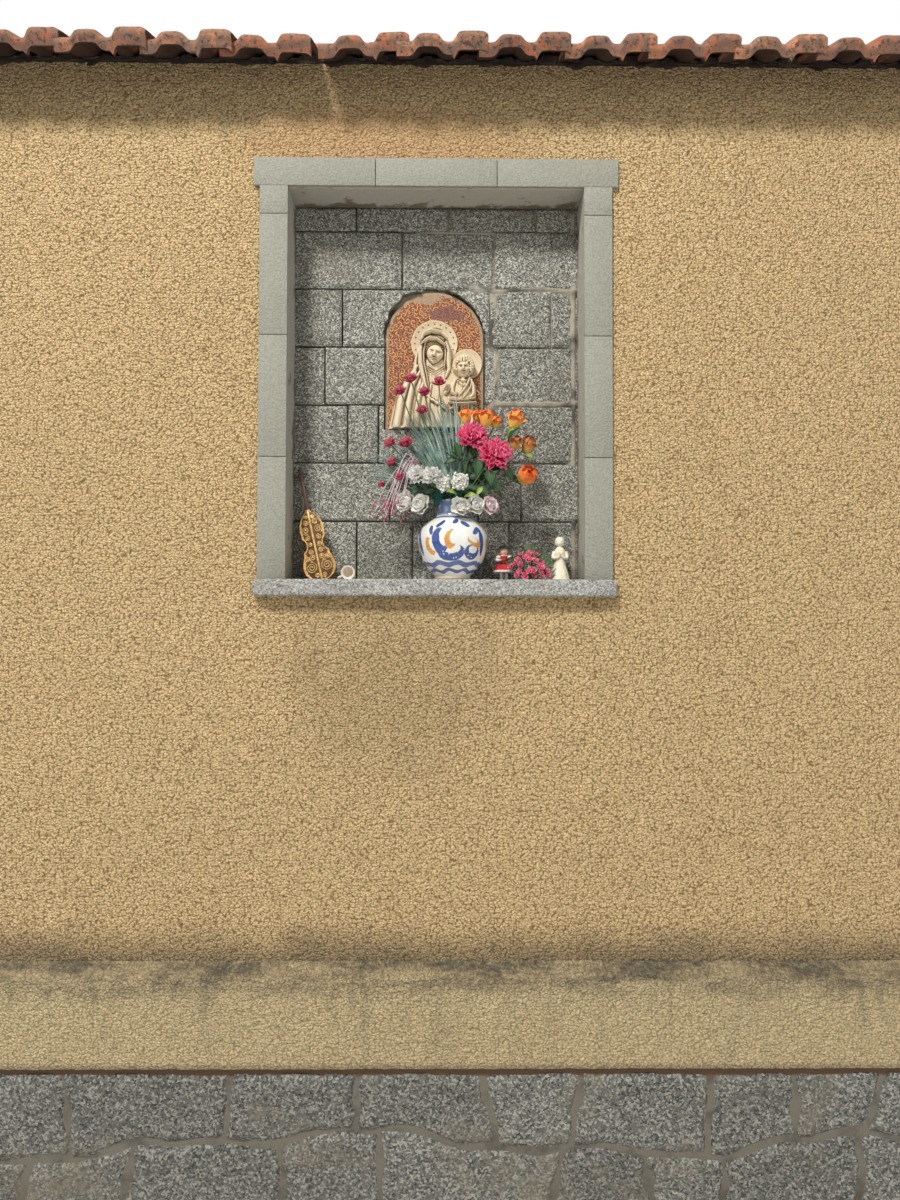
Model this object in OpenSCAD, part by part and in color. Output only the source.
// Wayside shrine: a stretch of roughcast garden wall with a framed niche, a devotional
// relief and its offerings. X runs along the wall, Y from front to back, Z up.
// The origin is on the ground, under the middle of the niche.

/* [Wall] */
// Length of the stretch of wall
wall_l = 2600; // [2200:200:3400]
// Height of the rendered wall, from the ground to the underside of the coping
wall_h = 2805; // [2700:5:3200]
// Thickness of the front leaf, which is as deep as the niche
leaf_t = 108; // [90:1:150]
// Thickness of the granite masonry behind the front leaf
core_t = 240; // [200:5:320]
// Thickness of the render on the back
back_render_t = 20; // [12:1:30]

/* [Base] */
// Height of the stone base
base_h = 354; // [250:1:400]
// How far the stone base stands proud of the wall
base_out = 25; // [10:1:35]
// Height of the rendered band above the stone base
band_h = 217; // [150:1:300]
// How far the band stands proud of the wall
band_out = 40; // [36:1:60]
// Height of the band's weathered slope
band_slope_h = 22; // [15:1:50]

/* [Niche] */
// Clear width of the niche
niche_w = 733; // [650:1:900]
// Clear height of the niche
niche_h = 975; // [940:1:1100]
// Height of the sill's top above the ground
sill_z = 1519; // [1400:1:1600]
// Thickness of the plaster on the niche's sides and soffit
plaster_t = 12; // [8:1:20]
// Height of one course of granite blocks
course_h = 152; // [140:1:170]
// Width of the joints between the granite blocks
joint_w = 6; // [3:0.5:10]
// Depth of those joints
joint_d = 7; // [3:0.5:12]
// Thickness of the granite blocks that show in the niche
block_t = 56; // [45:1:80]

/* [Sill] */
// Length of the granite sill
sill_l = 890; // [880:1:1000]
// Thickness of the sill
sill_t = 42; // [30:1:60]
// How far the sill stands proud of the wall
sill_out = 34; // [24:1:60]
// Radius of the sill's worn front corners
sill_r = 14; // [5:1:20]

/* [Frame strips] */
// Length of a whole stone strip
strip_l = 300; // [290:1:310]
// Width of a strip
strip_w = 70; // [60:1:76]
// Thickness of a strip
strip_t = 10; // [8:0.5:14]
// Joint between two strips
strip_gap = 1.6; // [1:0.1:4]

/* [Coping] */
// Width that one tile covers
tile_pitch = 200; // [196:1:210]
// Thickness of a tile
tile_t = 13; // [11:0.5:15]
// Width of the edge that lies under the next tile
tile_lap = 22; // [18:1:26]
// Height of the tile's middle rib
rib_h = 17; // [12:1:22]
// Height of the roll that covers the joint
roll_h = 23; // [20:1:28]
// Depth of the tile's front lip below its underside
lip_h = 20; // [8:1:24]
// Thickness of the front lip
lip_t = 14; // [10:1:20]
// How far the tiles overhang the wall
overhang = 125; // [90:5:160]
// Slope of the coping, in degrees
slope = 22; // [16:1:26]
// Height of the mortar bed at the wall's face
bed_h = 18; // [10:1:30]
// Width of a ridge tile
ridge_w = 200; // [180:5:220]
// Length of a ridge tile
ridge_l = 368; // [340:1:380]
// Rise of a ridge tile's curve
ridge_rise = 62; // [52:1:72]

/* [Relief] */
// Width of the arched panel
panel_w = 256; // [240:1:280]
// Height of the arched panel
panel_h = 362; // [340:1:400]
// Height of the panel's foot above the sill
panel_up = 398; // [380:1:420]
// Thickness of the panel
panel_t = 9; // [6:0.5:12]
// Depth of the arched recess that holds the panel
recess_d = 23; // [18:1:30]
// Gap round the panel in its recess
recess_gap = 3; // [2:0.5:6]
// Radius of the large halo
halo_r = 61; // [55:1:66]
// Radius of the small halo
child_halo_r = 40; // [36:1:44]
// Thickness of the halos
halo_t = 6; // [4:0.5:9]

/* [Vase] */
// Largest radius of the vase
vase_r = 87; // [80:1:92]
// Height of the vase
vase_h = 196; // [186:1:206]
// Radius of the vase's neck
neck_r = 40; // [36:1:44]
// Radius of the vase's foot
foot_r = 45; // [40:1:50]
// Thickness of the vase's wall
vase_t = 5; // [4:0.5:7]

/* [Ornaments] */
// Length of the violin's body
violin_l = 186; // [160:1:200]
// Thickness of the violin's body
violin_t = 26; // [20:1:32]
// Outer radius of the little cup
cup_r = 18; // [15:0.5:20]
// Height of the doll
doll_h = 78; // [70:1:90]
// Height of the white statuette
statuette_h = 112; // [100:1:125]

/* [Hidden] */

// Fineness of exact round shapes, and of the shapes that end up as facets.
round_fn = 64;
soft_fn = 20;

// Planes of the wall, front to back. The coping is the same on both sides of Y = 0.
wall_t = leaf_t + core_t + back_render_t;
face_y = -wall_t / 2;
back_y = wall_t / 2;
niche_y = face_y + leaf_t;
block_back_y = niche_y + block_t;
core_back_y = back_y - back_render_t;
half_l = wall_l / 2;

// Heights and half widths of the opening in the front leaf.
sill_bottom = sill_z - sill_t;
niche_top = sill_z + niche_h;
open_top = niche_top + plaster_t;
half_niche = niche_w / 2;
half_open = half_niche + plaster_t;
band_top = base_h + band_h;

// The coping: the tiles lie on two planes that meet over the middle of the wall.
bed_z = wall_h + bed_h;
ridge_gap = 12;
ridge_run = wall_t / 2 - ridge_gap;
tile_l = (ridge_run + overhang) / cos(slope);
tile_top_z = bed_z + ridge_run * tan(slope);
tile_count = ceil(wall_l / tile_pitch - 0.001);
bed_inset = 8;
tile_clear = 2;

// The relief stands on the panel, a little left of the niche's middle.
panel_x = -5;
panel_z = sill_z + panel_up;
panel_back_y = niche_y + recess_d;
panel_y = panel_back_y - panel_t;
panel_r = panel_w / 2;

// Stations of the ornaments on the sill.
vase_x = 43;
vase_y = niche_y - vase_r - 3;
vase_wide_z = 100;
vase_low_h = 105;
vase_high_h = 62;

module slab(x0, x1, y0, y1, z0, z1) {
  translate([x0, y0, z0]) cube([x1 - x0, y1 - y0, z1 - z0]);
}

// A profile given as [Y, Z] points, run along the whole wall.
module along_wall(profile, length = wall_l) {
  translate([-length / 2, 0, 0])
    rotate([90, 0, 90])
      linear_extrude(length) polygon(profile);
}

// The arched outline of the panel and of its recess, with its foot on the X axis.
module arch(w, h) {
  translate([-w / 2, 0]) square([w, h - w / 2]);
  translate([0, h - w / 2]) circle(d = w, $fn = round_fn);
}

// An arched plate that stands upright, from y0 to y1.
module arch_plate(w, h, y0, y1) {
  translate([panel_x, y1, panel_z])
    rotate([90, 0, 0])
      linear_extrude(y1 - y0) arch(w, h);
}

// A rod between two points.
module rod(a, b, r) {
  d = b - a;
  l = norm(d);
  translate(a)
    rotate([0, acos(d[2] / l), atan2(d[1], d[0])])
      cylinder(h = l, r = r, $fn = 16);
}

// A faceted rod between two points, for thin stalks.
module stalk(a, b, r) {
  d = b - a;
  l = norm(d);
  hull()
    translate(a)
      rotate([0, acos(d[2] / l), atan2(d[1], d[0])])
        cylinder(h = l, r = r, $fn = 6);
}

// Base, band and walls

module stone_base() {
  color([0.45, 0.44, 0.42])
    slab(-half_l, half_l, face_y - base_out, back_y + base_out, 0, base_h);
}

module plinth_band() {
  along_wall([
    [face_y - band_out, base_h],
    [face_y, base_h],
    [face_y, band_top + band_slope_h],
    [face_y - band_out, band_top]
  ]);
}

module front_plinth_band() {
  color([0.80, 0.70, 0.50]) plinth_band();
}

module back_plinth_band() {
  color([0.80, 0.70, 0.50]) mirror([0, 1, 0]) plinth_band();
}

module masonry_core() {
  color([0.50, 0.50, 0.49])
    difference() {
      slab(-half_l, half_l, niche_y, core_back_y, base_h, wall_h);
      slab(-half_open, half_open, niche_y - 1, block_back_y, sill_bottom, open_top);
    }
}

module front_wall_below() {
  color([0.85, 0.70, 0.47])
    slab(-half_l, half_l, face_y, niche_y, base_h, sill_bottom);
}

module front_wall_left() {
  color([0.85, 0.70, 0.47])
    slab(-half_l, -half_open, face_y, niche_y, sill_bottom, open_top);
}

module front_wall_right() {
  color([0.85, 0.70, 0.47])
    slab(half_open, half_l, face_y, niche_y, sill_bottom, open_top);
}

module front_wall_above() {
  color([0.85, 0.70, 0.47])
    slab(-half_l, half_l, face_y, niche_y, open_top, wall_h);
}

module back_render() {
  color([0.85, 0.70, 0.47])
    slab(-half_l, half_l, core_back_y, back_y, base_h, wall_h);
}

// Coping

// The Marseille tile's section: a flat pan, a middle rib and a roll that covers the joint.
tile_w = tile_pitch + tile_lap;
rib_x = 59;
rib_w = 69;
rib_side = 11;
roll_x = 137;
roll_side = 13;
roll_wall = 12;

function tile_top_line(x0) = [
  [x0, tile_t],
  [rib_x, tile_t],
  [rib_x + rib_side, tile_t + rib_h],
  [rib_x + rib_w - rib_side, tile_t + rib_h],
  [rib_x + rib_w, tile_t],
  [roll_x, tile_t],
  [roll_x + roll_side, tile_t + roll_h],
  [tile_w - 10, tile_t + roll_h],
  [tile_w - tile_clear, tile_t + roll_h - 7]
];

module tile_section() {
  polygon(concat(tile_top_line(0), [
    [tile_w - tile_clear, tile_t + tile_clear],
    [tile_w - roll_wall, tile_t + tile_clear],
    [tile_w - roll_wall, roll_h],
    [roll_x + roll_side + 5, roll_h],
    [roll_x + 6, 0],
    [rib_x + rib_w - 5, 0],
    [rib_x + rib_w - rib_side - 4, rib_h],
    [rib_x + rib_side + 4, rib_h],
    [rib_x + 5, 0],
    [0, 0]
  ]));
}

module lip_section() {
  polygon(concat(tile_top_line(tile_lap + tile_clear), [
    [tile_w - tile_clear, -lip_h + 12],
    [tile_w - 14, -lip_h + 4],
    [roll_x + 4, -lip_h],
    [rib_x + rib_w - 5, -lip_h],
    [rib_x + rib_w - rib_side - 4, -lip_h + rib_h],
    [rib_x + rib_side + 4, -lip_h + rib_h],
    [rib_x + 5, -lip_h],
    [tile_lap + tile_clear, -lip_h]
  ]));
}

// One tile, with its upper end at the origin and its lip towards -Y.
module tile() {
  rotate([slope, 0, 0]) {
    rotate([90, 0, 0])
      linear_extrude(tile_l - lip_t) tile_section();
    translate([0, -(tile_l - lip_t), 0])
      rotate([90, 0, 0])
        linear_extrude(lip_t) lip_section();
  }
}

// The last tile of a row is cut at the wall's end.
module tile_row() {
  for (i = [0:tile_count - 1]) {
    x = -half_l + i * tile_pitch;
    translate([x, -ridge_gap, tile_top_z])
      intersection() {
        tile();
        slab(-1, min(tile_w + 1, half_l - x), -1000, 10, -400, 200);
      }
  }
}

module front_tiles() {
  color([0.72, 0.38, 0.26]) tile_row();
}

module back_tiles() {
  color([0.72, 0.38, 0.26]) rotate([0, 0, 180]) tile_row();
}

ridge_joint = 4;
// The ridge tile's inner curve passes through its two feet and its crown.
ridge_t = 12;
ridge_in_w = ridge_w - 2 * ridge_t;
ridge_in_rise = ridge_rise - ridge_t;
ridge_in_r = (pow(ridge_in_w / 2, 2) + pow(ridge_in_rise, 2)) / (2 * ridge_in_rise);
ridge_out_r = ridge_in_r + ridge_t;
// The feet rest on the rolls of the tiles.
ridge_foot_z = bed_z + (wall_t / 2 - ridge_in_w / 2) * tan(slope)
  + (tile_t + roll_h) / cos(slope) + 1;
ridge_crown_z = ridge_foot_z + ridge_in_rise;
rib_half = ridge_gap - 3;
rib_top = ridge_crown_z - (ridge_in_r - sqrt(pow(ridge_in_r, 2) - pow(rib_half, 2)));

module ridge_tile(length) {
  translate([0, 0, ridge_crown_z - ridge_in_r])
    rotate([0, 90, 0])
      intersection() {
        difference() {
          cylinder(h = length, r = ridge_out_r, $fn = round_fn);
          translate([0, 0, -1]) cylinder(h = length + 2, r = ridge_in_r, $fn = round_fn);
        }
        translate([-ridge_out_r - 1, -ridge_w / 2, -1])
          cube([ridge_out_r + 1 - (ridge_in_r - ridge_in_rise), ridge_w, length + 2]);
      }
}

// The last ridge tile is cut at the wall's end too.
module ridge_tiles() {
  step = ridge_l + ridge_joint;
  color([0.70, 0.38, 0.27])
    for (i = [0:ceil(wall_l / step - 0.01) - 1])
      translate([-half_l + i * step, 0, 0])
        ridge_tile(min(ridge_l, wall_l - i * step));
}

module coping_bed() {
  bed_half = wall_t / 2 - bed_inset;
  bed_edge_z = bed_z + bed_inset * tan(slope);
  rib_foot_z = bed_z + (wall_t / 2 - rib_half) * tan(slope);
  color([0.42, 0.36, 0.30])
    along_wall([
      [-bed_half, wall_h],
      [bed_half, wall_h],
      [bed_half, bed_edge_z],
      [rib_half, rib_foot_z],
      [rib_half, rib_top],
      [-rib_half, rib_top],
      [-rib_half, rib_foot_z],
      [-bed_half, bed_edge_z]
    ]);
}

// Niche

course_count = ceil((niche_h + plaster_t + sill_t) / course_h) + 1;
// Where the upright joints stand in each course, from the sill up.
course_joints = [
  [-205, -60, 190],
  [-120, 110, 221],
  [-230, -150, 175],
  [-290, 160],
  [-245, 140, 300],
  [-90, 151],
  [-210, 30, 260],
  [-100, 120]
];

module niche_joints() {
  for (i = [0:course_count - 2]) {
    z = sill_z + 4 + (i + 1) * course_h;
    if (z < open_top)
      slab(-half_open - 1, half_open + 1, niche_y - 1, niche_y + joint_d,
        z - joint_w / 2, z + joint_w / 2);
  }
  for (i = [0:len(course_joints) - 1], x = course_joints[i]) {
    z0 = i == 0 ? sill_bottom - 1 : sill_z + 4 + i * course_h;
    z1 = sill_z + 4 + (i + 1) * course_h;
    if (z0 < open_top)
      slab(x - joint_w / 2, x + joint_w / 2, niche_y - 1, niche_y + joint_d,
        z0, z1);
  }
}

module niche_back() {
  color([0.47, 0.48, 0.49])
    difference() {
      slab(-half_open, half_open, niche_y, block_back_y, sill_bottom, open_top);
      niche_joints();
      translate([0, 0, -recess_gap])
        arch_plate(panel_w + 2 * recess_gap, panel_h + 2 * recess_gap,
          niche_y - 1, panel_back_y);
    }
}

module left_reveal() {
  color([0.55, 0.53, 0.49])
    slab(-half_open, -half_niche, face_y, niche_y, sill_z, niche_top);
}

module right_reveal() {
  color([0.55, 0.53, 0.49])
    slab(half_niche, half_open, face_y, niche_y, sill_z, niche_top);
}

module soffit() {
  color([0.55, 0.53, 0.49])
    slab(-half_open, half_open, face_y, niche_y, niche_top, open_top);
}

module sill() {
  color([0.60, 0.59, 0.56])
    translate([0, 0, sill_bottom])
      linear_extrude(sill_t) {
        translate([-half_open, face_y - 1]) square([2 * half_open, leaf_t + 1]);
        difference() {
          translate([-sill_l / 2, face_y - sill_out]) square([sill_l, sill_out]);
          for (s = [-1, 1])
            translate([s * sill_l / 2, face_y - sill_out])
              rotate(s < 0 ? 0 : 90) corner_cut(sill_r);
        }
      }
}

// What is taken off a square corner at the origin to round it.
module corner_cut(r) {
  difference() {
    translate([-1, -1]) square(r + 1);
    translate([r, r]) circle(r, $fn = round_fn);
  }
}

// Frame strips

module strip(x, z, w, h) {
  color([0.62, 0.62, 0.57])
    slab(x, x + w, face_y - strip_t, face_y, z, z + h);
}

lintel_l = 3 * strip_l + 2 * strip_gap;

module lintel_strip(i) {
  strip(-lintel_l / 2 + i * (strip_l + strip_gap), niche_top, strip_l, strip_w);
}

// As many whole strips as the niche's height takes, and an offcut on top of them.
module jamb_strips(x) {
  whole = floor(niche_h / (strip_l + strip_gap));
  z = sill_z + whole * (strip_l + strip_gap);
  for (i = [0:whole - 1])
    strip(x, sill_z + i * (strip_l + strip_gap), strip_w, strip_l);
  if (niche_top - z > 5) strip(x, z, strip_w, niche_top - z - 0.3);
}

// Relief

module relief_panel() {
  color([0.52, 0.24, 0.16])
    arch_plate(panel_w, panel_h, panel_y, panel_back_y);
}

// Heads and halos, as [X, Z] from the middle of the panel's foot, on a panel 256 wide.
mother_halo_at = [0, 226];
child_halo_at = [85, 172];
mother_head = [5, 201];
child_head = [71, 153];
relief_k = panel_w / 256;

module on_relief() {
  translate([panel_x, panel_y, panel_z]) children();
}

module disc(at, r, t) {
  on_relief()
    translate([at[0] * relief_k, 0, at[1] * relief_k])
      rotate([90, 0, 0]) cylinder(h = t, r = r, $fn = round_fn);
}

module mother_halo() {
  color([0.80, 0.73, 0.58]) disc(mother_halo_at, halo_r, halo_t);
}

module child_halo() {
  color([0.80, 0.73, 0.58])
    difference() {
      disc(child_halo_at, child_halo_r, halo_t);
      disc(mother_halo_at, halo_r + 0.5, halo_t + 1);
    }
}

// A rounded lump of the relief: out is how far it stands from the panel.
module lump(x, z, rx, rz, out) {
  on_relief()
    scale(relief_k)
      translate([x, -1, z])
        scale([rx, out, rz]) sphere(1, $fn = soft_fn);
}

// Keeps a figure in front of the panel and inside its arch.
module on_panel() {
  intersection() {
    children();
    arch_plate(panel_w - 4, panel_h - 2, panel_y - 80, panel_y - halo_t - 0.1);
  }
}

module mother_body() {
  hull() {
    lump(5, 183, 30, 26, 34);
    lump(-35, 143, 26, 26, 28);
    lump(39, 135, 18, 22, 30);
  }
  hull() {
    lump(-39, 133, 30, 34, 30);
    lump(25, 113, 40, 40, 34);
    lump(-83, 38, 34, 44, 26);
    lump(5, 28, 80, 40, 30);
    lump(89, 28, 30, 36, 30);
  }
}

module mother_head_shape() {
  hull() {
    lump(mother_head[0], mother_head[1] + 4, 24, 30, 46);
    lump(mother_head[0] + 3, mother_head[1] - 18, 15, 16, 40);
  }
}

module mother_veil() {
  hull() {
    lump(-3, 229, 34, 26, 34);
    lump(11, 233, 28, 22, 38);
    lump(-21, 193, 18, 34, 30);
    lump(29, 199, 14, 28, 30);
  }
}

module mother_figure() {
  color([0.82, 0.75, 0.60])
    on_panel() {
      mother_body();
      mother_head_shape();
      mother_veil();
    }
}

module child_figure() {
  color([0.82, 0.75, 0.60])
    on_panel()
      difference() {
        union() {
          lump(child_head[0], child_head[1], 19, 23, 44);
          hull() {
            lump(75, 123, 30, 16, 36);
            lump(75, 83, 34, 22, 44);
          }
        }
        mother_body();
      }
}

// Vase and bouquet

vase_steps = 14;
// Outer radius of the vase's belly at a height above its foot.
function belly_r(z) = let (h = z < vase_wide_z ? vase_low_h : vase_high_h)
  vase_r * sqrt(max(0, 1 - pow((z - vase_wide_z) / h, 2)));
foot_h = 9;
belly_top = vase_wide_z + vase_high_h * sqrt(1 - pow(neck_r / vase_r, 2));
rim_r = neck_r + 3;

module vase_outline() {
  polygon(concat(
    [[0, 0], [foot_r, 0], [foot_r, foot_h]],
    [for (i = [0:vase_steps])
      let (z = foot_h + (belly_top - foot_h) * i / vase_steps) [belly_r(z), z]],
    [[neck_r, vase_h - 12], [rim_r, vase_h], [0, vase_h]]
  ));
}

module vase_inside(cut = 1) {
  polygon(concat(
    [[0, foot_h + 6]],
    [for (i = [0:vase_steps])
      let (z = foot_h + 6 + (belly_top - foot_h - 6) * i / vase_steps)
      [min(belly_r(z), belly_r(z + 2)) - vase_t, z]],
    [[neck_r - vase_t, vase_h - 12], [rim_r - vase_t, vase_h + cut], [0, vase_h + cut]]
  ));
}

module vase() {
  color([0.90, 0.89, 0.86])
    translate([vase_x, vase_y, sill_z])
      rotate_extrude($fn = round_fn)
        difference() {
          vase_outline();
          vase_inside();
        }
}

foam_top = vase_h - 14;

// The foam fills the vase up to just below its rim.
module flower_foam() {
  color([0.16, 0.40, 0.32])
    translate([vase_x, vase_y, sill_z])
      rotate_extrude($fn = round_fn)
        intersection() {
          vase_inside(0);
          square([vase_r, foam_top]);
        }
}

// Heads of the flowers as [X, Y, Z, radius], then where the stem leaves the foam, from
// its middle, and how far above the rim a drooping stem bends (0 for a straight one).
peony_heads = [
  [93, -196, 1876, 39, 12, -8, 0], [148, -214, 1831, 43, 12, -16, 0]
];
rose_heads = [
  [75, -170, 1926, 18, 4, -8, 0], [103, -164, 1930, 15, 8, 0, 0],
  [125, -180, 1918, 21, 16, 0, 0], [149, -164, 1914, 15, 12, 8, 0],
  [198, -176, 1917, 23, 24, 0, 0], [197, -190, 1856, 18, 20, -8, 0],
  [230, -174, 1853, 20, 12, 16, 0], [222, -188, 1773, 26, 20, 8, 10]
];
white_heads = [
  [-46, -206, 1776, 21, -8, -16, 10], [-10, -228, 1771, 21, 0, -16, 10],
  [19, -208, 1752, 17, 0, -24, 16], [60, -222, 1755, 20, -4, 16, 22],
  [-72, -186, 1709, 20, -12, 12, 16], [-36, -206, 1700, 19, -12, -12, 28],
  [62, -226, 1692, 18, -4, -12, 28], [97, -218, 1698, 18, 8, -20, 28],
  [133, -206, 1698, 17, 12, -4, 28]
];
bud_heads = [
  [-62, -158, 2020, 13, -12, 0, 0], [-88, -154, 1990, 13, -20, 0, 0],
  [-28, -160, 1985, 13, -8, 8, 0], [7, -158, 2012, 13, -4, 0, 0],
  [-34, -170, 1938, 12, -8, -8, 0], [-112, -160, 1858, 13, -16, 8, 0],
  [-72, -176, 1854, 15, -16, -8, 0], [-108, -168, 1808, 12, -16, -16, 10],
  [-88, -178, 1770, 12, -4, 24, 10], [-134, -160, 1755, 8, -24, -4, 10],
  [-116, -170, 1700, 8, -16, 16, 10]
];
stem_r = 1.5;
stem_foot = [vase_x, vase_y, sill_z + foam_top - 1];
bend_out = 14;

// Where a stem starts, where it bends and where it ends.
function stem_start(head) = stem_foot + [head[4], head[5], 0];
function stem_bend(head) =
  let (out = [head[0] - vase_x, head[1] - vase_y], l = norm(out))
  [vase_x + head[4] + out[0] / l * bend_out, vase_y + head[5] + out[1] / l * bend_out,
    sill_z + vase_h + head[6]];
function stem_end(head) = [head[0], head[1], head[2]];

module stem(head) {
  if (head[6] > 0) {
    stalk(stem_start(head), stem_bend(head), stem_r);
    stalk(stem_bend(head), stem_end(head), stem_r * 0.9);
  } else {
    stalk(stem_start(head), stem_end(head), stem_r);
  }
}

module flower_stems() {
  color([0.20, 0.36, 0.18])
    for (heads = [peony_heads, rose_heads, white_heads, bud_heads], h = heads) stem(h);
}

// A full double flower: a deep dome with two turned-out rings of petals.
module peony(r) {
  rotate([62, 0, 12])
    rotate_extrude($fn = round_fn)
      polygon([
        [0, -r * 0.5], [r * 0.5, -r * 0.42], [r * 0.86, -r * 0.22], [r, -r * 0.02],
        [r * 0.95, r * 0.1], [r * 0.78, r * 0.06], [r * 0.76, r * 0.26],
        [r * 0.6, r * 0.3], [r * 0.5, r * 0.24], [r * 0.42, r * 0.42],
        [r * 0.2, r * 0.46], [0, r * 0.5]
      ]);
}

module peonies() {
  color([0.85, 0.16, 0.36])
    for (h = peony_heads) translate([h[0], h[1], h[2]]) peony(h[3]);
}

// A half open rose: an egg-shaped cup with a turned-out rim.
module rose_bud(r) {
  rotate_extrude($fn = round_fn)
    polygon([
      [0, -r * 1.1], [r * 0.35, -r * 1.05], [r * 0.8, -r * 0.6], [r, 0],
      [r * 0.92, r * 0.55], [r * 0.7, r], [r * 0.5, r * 0.9],
      [r * 0.3, r * 1.05], [0, r * 1.1]
    ]);
}

module orange_roses() {
  color([0.93, 0.50, 0.18])
    for (h = rose_heads) translate([h[0], h[1], h[2]]) rose_bud(h[3]);
}

module white_blossoms() {
  color([0.92, 0.91, 0.84])
    for (h = white_heads)
      translate([h[0], h[1], h[2]]) peony(h[3]);
}

module red_buds() {
  color([0.62, 0.10, 0.18])
    for (h = bud_heads)
      translate([h[0], h[1], h[2]]) rose_bud(h[3] * 0.8);
}

// Blades fan out of the foam in three rows; each is a thin cone that leans further to
// the left than the one before, so that no two cross.
blade_count = 18;
blade_step = 2.1;
blade_row = 6;
blade_r = 1.7;

module grass_spray() {
  color([0.45, 0.60, 0.55])
    for (i = [0:blade_count - 1]) {
      row = i % 3 - 1;
      translate([vase_x + 16 - i * blade_step, vase_y + 14 + row * blade_row,
        sill_z + foam_top - 1])
        rotate([-3 * row, -1 - i * 3.5, 0])
          cylinder(h = 315 - 6 * i + 14 * sin(i * 97), r1 = blade_r, r2 = 0.6, $fn = 16);
    }
}

// One pointed leaf, as a lens with its stalk end at the origin.
module leaf(l, w) {
  r = (l * l + w * w) / (4 * w);
  linear_extrude(1.2)
    intersection() {
      translate([l / 2, w / 2 - r]) circle(r, $fn = round_fn);
      translate([l / 2, r - w / 2]) circle(r, $fn = round_fn);
    }
}

// Leaves sit on the stems: the flower's head, how far up its stem, the leaf's length
// and which way it points, in degrees from +X.
leaf_places = [
  [peony_heads[0], 0.62, 62, -20], [peony_heads[0], 0.4, 58, 200],
  [peony_heads[1], 0.55, 66, -35], [peony_heads[1], 0.8, 60, -75],
  [rose_heads[4], 0.6, 60, 20], [rose_heads[5], 0.7, 56, -50],
  [rose_heads[6], 0.8, 52, 80], [bud_heads[6], 0.5, 46, 220]
];

module bouquet_leaves() {
  color([0.14, 0.30, 0.14])
    for (p = leaf_places) {
      a = stem_start(p[0]);
      b = stem_end(p[0]);
      translate(a + (b - a) * p[1])
        rotate([90, 0, 0]) rotate([14, 0, p[3]]) leaf(p[2], p[2] * 0.5);
    }
}

// Ornaments on the sill

violin_foot = [-284, -132, 0];
violin_lean = -13;
violin_back = -5;

// Outline of the violin's body, foot at the origin.
module violin_outline() {
  l = violin_l;
  difference() {
    union() {
      translate([0, l * 0.24]) circle(r = l * 0.235, $fn = round_fn);
      translate([0, l * 0.76]) circle(r = l * 0.19, $fn = round_fn);
      translate([-l * 0.17, l * 0.25]) square([l * 0.34, l * 0.5]);
      translate([-l * 0.12, l * 0.9]) square([l * 0.24, l * 0.09]);
    }
    for (s = [-1, 1])
      translate([s * l * 0.235, l * 0.535]) circle(r = l * 0.115, $fn = round_fn);
  }
}

module violin_pose() {
  translate([violin_foot[0], violin_foot[1], sill_z + violin_foot[2]])
    rotate([violin_back, violin_lean, 0])
      rotate([90, 0, 0]) children();
}

module violin_body() {
  color([0.72, 0.55, 0.27])
    intersection() {
      violin_pose()
        difference() {
          translate([0, 0, -violin_t]) linear_extrude(violin_t) violin_outline();
          translate([0, 0, -3])
            linear_extrude(4) offset(delta = -5) violin_outline();
        }
      slab(-half_niche + 0.5, 0, -400, niche_y - 0.5, sill_z, niche_top);
    }
}

module violin_neck() {
  l = violin_l;
  color([0.40, 0.24, 0.14])
    violin_pose() {
      translate([-5, l, -14]) cube([10, l * 0.46, 9]);
      translate([-8, l * 1.42, -17]) cube([14, l * 0.17, 14]);
      for (s = [0, 1])
        translate([-13, l * (1.47 + 0.07 * s), -11])
          rotate([0, 90, 0]) cylinder(h = 6, r = 2.5, $fn = 16);
    }
}

cup_at = [-217, -128];
cup_l = 34;
cup_bore_r = 11;
cup_bore_l = 24;

// A little white jug on its side, with its mouth to the front.
module cup() {
  color([0.88, 0.86, 0.80])
    translate([cup_at[0], cup_at[1], sill_z + cup_r])
      rotate([90, 0, 0]) {
        difference() {
          union() {
            cylinder(h = cup_l, r1 = cup_r * 0.7, r2 = cup_r * 0.82, $fn = round_fn);
            translate([0, 0, cup_l - 7]) cylinder(h = 7, r = cup_r, $fn = round_fn);
          }
          translate([0, 0, cup_l - cup_bore_l])
            cylinder(h = cup_bore_l + 1, r = cup_bore_r, $fn = round_fn);
        }
        translate([-cup_r - 3, -cup_r + 7, cup_l - 12]) sphere(7, $fn = round_fn);
      }
}

doll_at = [172, -140];

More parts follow.
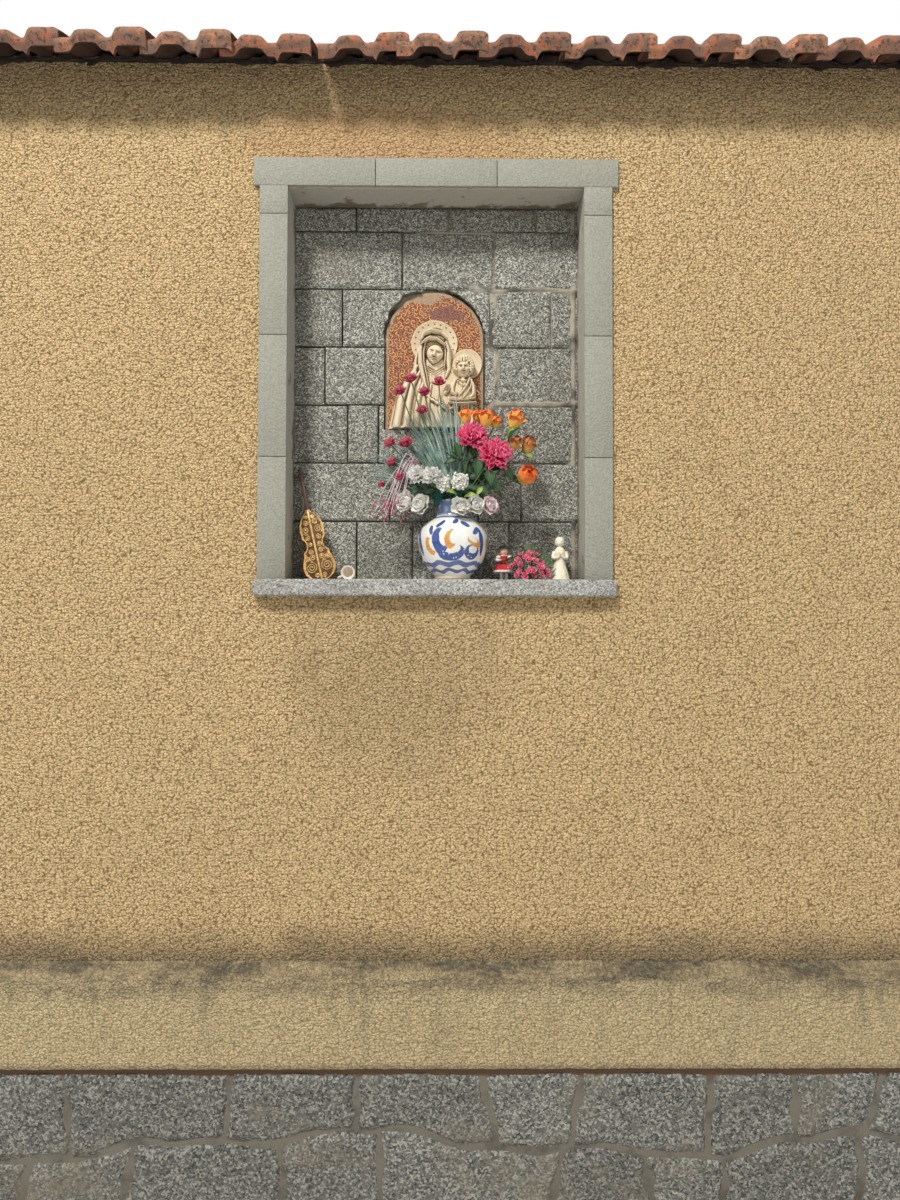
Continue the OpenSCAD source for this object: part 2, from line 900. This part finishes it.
module doll() {
  k = doll_h / 78;
  color([0.75, 0.12, 0.12])
    translate([doll_at[0], doll_at[1], sill_z]) scale(k) {
      for (s = [-1, 1]) translate([s * 6, 0, 0]) cylinder(h = 22, r = 4, $fn = 32);
      translate([0, 0, 20]) cylinder(h = 24, r1 = 23, r2 = 9, $fn = round_fn);
      translate([0, 0, 43]) cylinder(h = 12, r1 = 9, r2 = 7, $fn = round_fn);
      translate([0, 0, 64]) sphere(11, $fn = round_fn);
      translate([-16, 0, 50]) sphere(6.5, $fn = round_fn);
      translate([16, -2, 46]) sphere(6.5, $fn = round_fn);
      rod([-16, 0, 50], [0, 0, 50], 4);
      rod([16, -2, 46], [0, 0, 50], 4);
    }
}

posy_at = [236, -158];
posy_heads = [
  [-40, 0, 34], [-22, -16, 30], [0, -24, 26], [22, -18, 28], [38, -4, 22],
  [-30, -6, 48], [-8, -10, 50], [14, -10, 46], [2, 2, 58], [30, 4, 40]
];

// Each flower is a small ball on a stalk from the posy's foot.
module posy() {
  color([0.88, 0.30, 0.45])
    translate([posy_at[0], posy_at[1], sill_z]) {
      hull() cylinder(h = 14, r = 20, $fn = 24);
      for (p = posy_heads) {
        hull() translate([p[0], p[1], p[2]]) sphere(11, $fn = 14);
        stalk([p[0] * 0.3, p[1] * 0.3, 8], p, 2);
      }
    }
}

statuette_at = [313, -136];

module statuette() {
  k = statuette_h / 112;
  color([0.93, 0.92, 0.87])
    translate([statuette_at[0], statuette_at[1], sill_z]) scale(k) {
      rotate_extrude($fn = round_fn)
        polygon([
          [0, 0], [26, 0], [26, 5], [23, 14], [16, 34], [11, 48], [13, 60],
          [14, 72], [10, 82], [5, 86], [0, 86]
        ]);
      translate([0, 0, 98]) scale(1) sphere(13, $fn = round_fn);
      translate([-6, -12, 64]) sphere(7, $fn = round_fn);
    }
}

stone_base();
front_plinth_band();
back_plinth_band();
masonry_core();
front_wall_below();
front_wall_left();
front_wall_right();
front_wall_above();
back_render();
coping_bed();
front_tiles();
back_tiles();
ridge_tiles();
niche_back();
left_reveal();
right_reveal();
soffit();
sill();
lintel_strip(0);  // lintel_strip_left
lintel_strip(1);  // lintel_strip_middle
lintel_strip(2);  // lintel_strip_right
jamb_strips(-half_niche - strip_w);  // left_jamb_strips
jamb_strips(half_niche);  // right_jamb_strips
relief_panel();
mother_halo();
mother_figure();
child_halo();
child_figure();
vase();
flower_foam();
flower_stems();
peonies();
orange_roses();
white_blossoms();
red_buds();
grass_spray();
bouquet_leaves();
violin_body();
violin_neck();
cup();
doll();
posy();
statuette();
